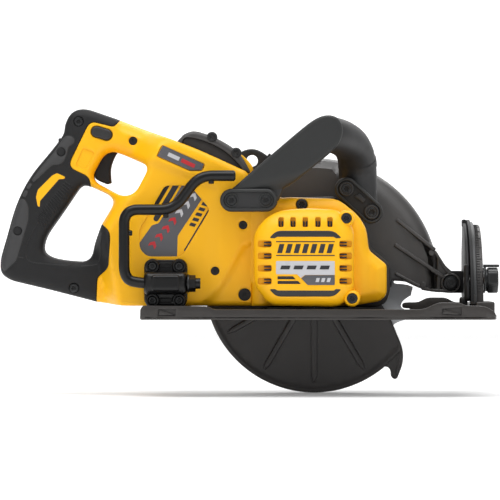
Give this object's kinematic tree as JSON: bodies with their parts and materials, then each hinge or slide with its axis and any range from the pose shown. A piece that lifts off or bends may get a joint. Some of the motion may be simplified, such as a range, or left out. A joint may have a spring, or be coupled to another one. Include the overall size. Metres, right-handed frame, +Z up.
{
  "type": "circular saw",
  "caption": "Cordless worm-drive style circular saw with rear D-handle, blade on the left, swinging lower guard, tilting shoe, rafter hook and slide-in battery pack.",
  "frame": {"origin": "on the sole of the shoe, directly below the spindle axis, in the mid-plane of the rear handle", "axes": "+X forward in the direction of cut, +Y towards the blade side (left of the user), +Z up away from the sole"},
  "size_m": [0.4585, 0.1766, 0.2621],
  "materials": {
    "yellow_plastic": "satin moulded nylon",
    "grip_rubber": "matte overmould",
    "black_plastic": "fine-textured moulded plastic",
    "magnesium": "powder-coated die casting",
    "steel": "machined",
    "blade_steel": "ground, dark",
    "black_steel": "black oxide",
    "motor_laminations": "stacked sheet",
    "copper": "enamelled wire",
    "circuit_resin": "potted electronics"
  },
  "bodies": {
    "saw_body": {"housing_right": "yellow_plastic", "housing_left": "yellow_plastic", "grip_right": "grip_rubber", "grip_left": "grip_rubber", "motor_housing": "yellow_plastic", "motor_end_cap": "yellow_plastic", "gear_case": "magnesium", "upper_guard": "magnesium", "stator": "copper", "motor_bearing_rear": "steel", "motor_bearing_front": "steel", "spindle_bearing_inner": "steel", "spindle_bearing_outer": "steel", "guard_return_spring": "steel", "trigger_spring": "steel", "switch_module": "black_plastic", "controller_module": "circuit_resin", "terminal_block": "black_plastic", "front_handle": "black_plastic", "hook_bracket": "black_plastic", "grip_screw_top": "black_steel", "grip_screw_bottom": "black_steel", "handle_screw_1": "black_steel", "handle_screw_2": "black_steel", "bracket_screw_1": "black_steel", "bracket_screw_2": "black_steel", "bracket_screw_3": "black_steel", "bracket_screw_4": "black_steel", "end_cap_screw_1": "black_steel", "end_cap_screw_2": "black_steel", "end_cap_screw_3": "black_steel"},
    "rotor": {"rotor_core": "motor_laminations", "motor_shaft": "steel", "cooling_fan": "black_plastic", "motor_pinion": "steel"},
    "spindle_set": {"spindle": "steel", "spindle_gear": "steel", "inner_flange": "steel", "outer_flange": "steel", "blade": "blade_steel", "blade_bolt": "black_steel"},
    "guard": {"lower_guard": "magnesium", "guard_lift_lever": "black_plastic"},
    "carriage": {"front_bracket": "black_steel", "depth_arm": "black_steel", "depth_pivot_pin": "steel"},
    "shoe_plate": {"shoe": "magnesium", "bevel_quadrant": "steel", "rear_bevel_pin": "steel", "front_bevel_pin": "steel"},
    "depth_clamp": {"depth_lever": "black_plastic"},
    "bevel_clamp": {"bevel_lever": "black_steel"},
    "hook": {"rafter_hook": "black_steel", "hook_nut": "steel"},
    "trigger_lever": {"trigger": "black_plastic"},
    "lock_off": {"lock_off_button": "black_plastic"},
    "spindle_lock": {"spindle_lock_button": "steel"},
    "battery_pack": {"battery_case": "black_plastic", "battery_base": "yellow_plastic"},
    "pack_latch": {"battery_latch": "black_plastic"}
  },
  "joints": [
    {"name": "spindle_spin", "type": "hinge", "parent": "saw_body", "child": "spindle_set", "pos_m": [0, 0.056, 0.0321], "axis": [0, 1, 0], "continuous": true},
    {"name": "motor_spin", "type": "hinge", "parent": "saw_body", "child": "rotor", "pos_m": [-0.011, 0, 0.0561], "axis": [0, 1, 0], "continuous": true},
    {"name": "lower_guard_swing", "type": "hinge", "parent": "saw_body", "child": "guard", "pos_m": [0, 0.056, 0.0321], "axis": [0, 1, 0], "range_deg": [0, 90], "stiffness_Nm_per_rad": 0.25, "springref_deg": -85.94},
    {"name": "depth_tilt", "type": "hinge", "parent": "saw_body", "child": "carriage", "pos_m": [0.127, 0.056, 0.0321], "axis": [0, 1, 0], "range_deg": [-28, 0]},
    {"name": "bevel_tilt", "type": "hinge", "parent": "carriage", "child": "shoe_plate", "pos_m": [0, 0.056, 0.007], "axis": [1, 0, 0], "range_deg": [0, 53]},
    {"name": "depth_lever_turn", "type": "hinge", "parent": "saw_body", "child": "depth_clamp", "pos_m": [-0.072, 0.078, 0.05], "axis": [0, 1, 0], "range_deg": [0, 60]},
    {"name": "bevel_lever_turn", "type": "hinge", "parent": "carriage", "child": "bevel_clamp", "pos_m": [0.16, -0.01028, 0.03513], "axis": [1, 0, 0], "range_deg": [0, 60]},
    {"name": "rafter_hook_swing", "type": "hinge", "parent": "saw_body", "child": "hook", "pos_m": [-0.134, -0.064, 0.0326], "axis": [1, 0, 0], "range_deg": [0, 90]},
    {"name": "trigger_pull", "type": "hinge", "parent": "saw_body", "child": "trigger_lever", "pos_m": [-0.19, 0, 0.152], "axis": [0, 1, 0], "range_deg": [0, 12], "stiffness_Nm_per_rad": 0.3, "springref_deg": -17.19, "deforming": ["trigger_spring"]},
    {"name": "lock_off_slide", "type": "slide", "parent": "saw_body", "child": "lock_off", "axis": [0, 1, 0], "range_m": [-0.002, 0.002], "stiffness_N_per_m": 400},
    {"name": "spindle_lock_slide", "type": "slide", "parent": "saw_body", "child": "spindle_lock", "axis": [-1, 0, 0], "range_m": [0, 0.004], "stiffness_N_per_m": 500, "springref_m": -0.003},
    {"name": "battery_slide", "type": "slide", "parent": "saw_body", "child": "battery_pack", "axis": [0.5135, 0, 0.8581], "range_m": [0, 0.12]},
    {"name": "battery_latch_slide", "type": "slide", "parent": "battery_pack", "child": "pack_latch", "axis": [-0.5135, 0, -0.8581], "range_m": [0, 0.002], "stiffness_N_per_m": 600, "springref_m": -0.003}
  ],
  "couplings": [
    {"joint": "motor_spin", "follows": "spindle_spin", "ratio": -4.5}
  ]
}
